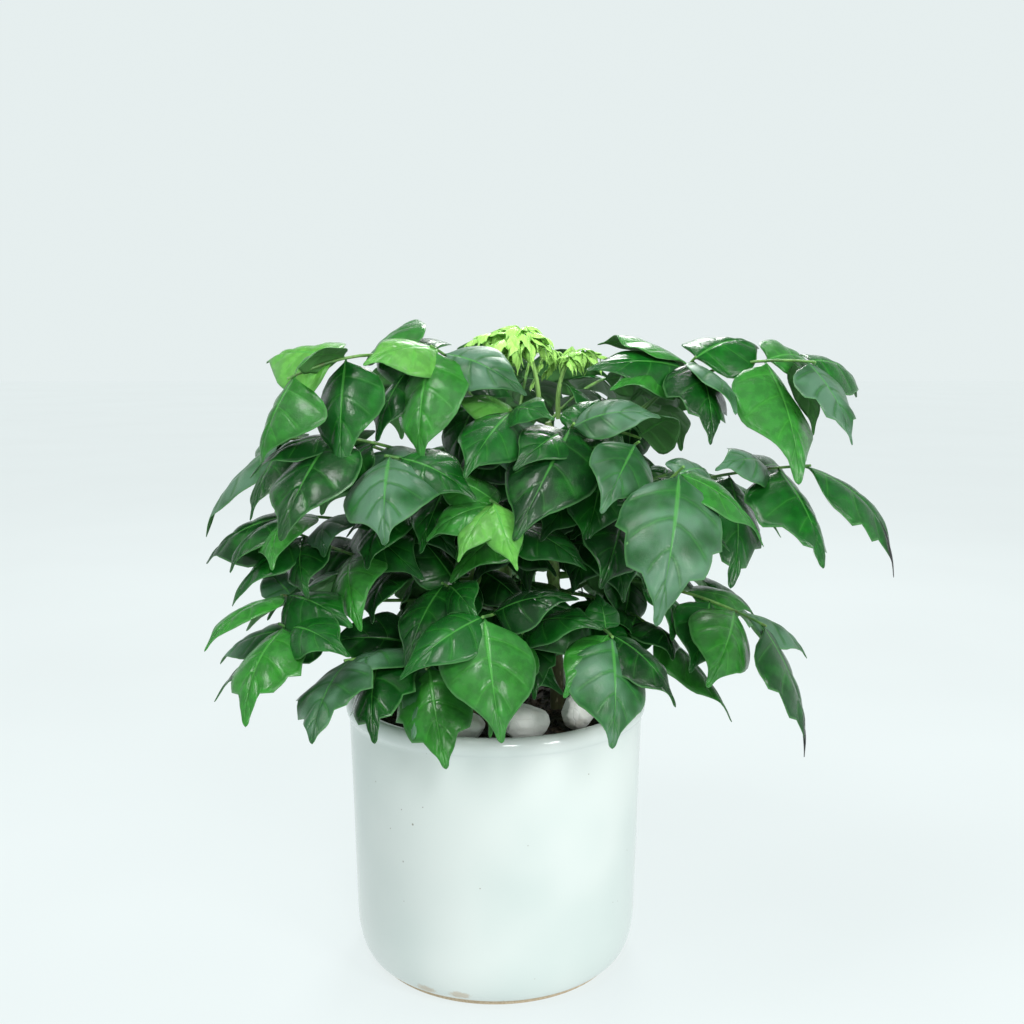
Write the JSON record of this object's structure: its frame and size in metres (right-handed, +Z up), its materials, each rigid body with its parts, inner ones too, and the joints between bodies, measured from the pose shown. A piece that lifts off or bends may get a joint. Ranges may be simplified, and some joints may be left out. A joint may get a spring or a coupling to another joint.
{
  "type": "potted china doll plant",
  "caption": "Small potted foliage plant with glossy compound leaves on upright stems, in a plain white glazed straight-sided vase with pebbles on the soil.",
  "frame": {"origin": "centre of the pot's flat base, on the surface that it stands on", "axes": "+Z up; -Y is the front that the picture shows; +X is to the right seen from the front"},
  "size_m": [0.3021, 0.2532, 0.2922],
  "materials": {
    "glazed_ceramic": "clear glossy white glaze with a faint cool tint, bare tan clay on the foot",
    "potting_soil": "dark crumbly potting soil",
    "white_pebble": "smooth tumbled white stone",
    "stem_bark": "green stem turning to light brown bark",
    "mature_leaf": "waxy gloss, lighter veins, paler underside",
    "young_leaf": "soft fresh lime green"
  },
  "bodies": {
    "root": {"pot": "glazed_ceramic", "soil": "potting_soil", "pebble_1": "white_pebble", "pebble_2": "white_pebble", "pebble_3": "white_pebble", "pebble_4": "white_pebble", "pebble_5": "white_pebble", "pebble_6": "white_pebble", "pebble_7": "white_pebble", "pebble_8": "white_pebble", "stem_left": "stem_bark", "stem_right": "stem_bark", "stem_back": "stem_bark", "leaf_top_left_outer": "mature_leaf", "leaf_top_left_inner": "mature_leaf", "leaf_upper_left_far": "mature_leaf", "leaf_upper_left_middle": "mature_leaf", "leaf_upper_left_near": "mature_leaf", "leaf_top_centre_left": "mature_leaf", "leaf_top_centre_front": "mature_leaf", "leaf_top_centre_right": "mature_leaf", "leaf_centre_bright": "mature_leaf", "leaf_left_inner": "mature_leaf", "leaf_left_tall": "mature_leaf", "leaf_left_light": "mature_leaf", "leaf_left_low": "mature_leaf", "leaf_low_left_front": "mature_leaf", "leaf_low_front_left": "mature_leaf", "leaf_low_front": "mature_leaf", "leaf_centre_left_inner": "mature_leaf", "leaf_low_right_inner": "mature_leaf", "leaf_low_right_front": "mature_leaf", "leaf_low_right_behind": "mature_leaf", "leaf_low_right_outer": "mature_leaf", "leaf_right_near": "mature_leaf", "leaf_right_outer": "mature_leaf", "leaf_right_inner": "mature_leaf", "leaf_top_right_inner": "mature_leaf", "leaf_top_right_outer": "mature_leaf", "leaf_inner_left": "mature_leaf", "leaf_inner_right": "mature_leaf", "leaf_inner_back_left": "mature_leaf", "leaf_inner_back_right": "mature_leaf", "leaf_inner_low": "mature_leaf", "leaf_inner_centre": "mature_leaf", "leaf_inner_centre_low": "mature_leaf", "leaf_back_top_left": "mature_leaf", "leaf_back_top": "mature_leaf", "leaf_back_top_right": "mature_leaf", "leaf_back_upper_left": "mature_leaf", "leaf_back_upper": "mature_leaf", "leaf_back_upper_right": "mature_leaf", "leaf_side_right_upper": "mature_leaf", "leaf_back_low_left": "mature_leaf", "leaf_back_low": "mature_leaf", "leaf_back_low_right": "mature_leaf", "leaf_side_right_low": "mature_leaf", "leaf_side_left_low": "mature_leaf", "young_shoot_left": "young_leaf", "young_shoot_right": "young_leaf"}
  },
  "joints": []
}
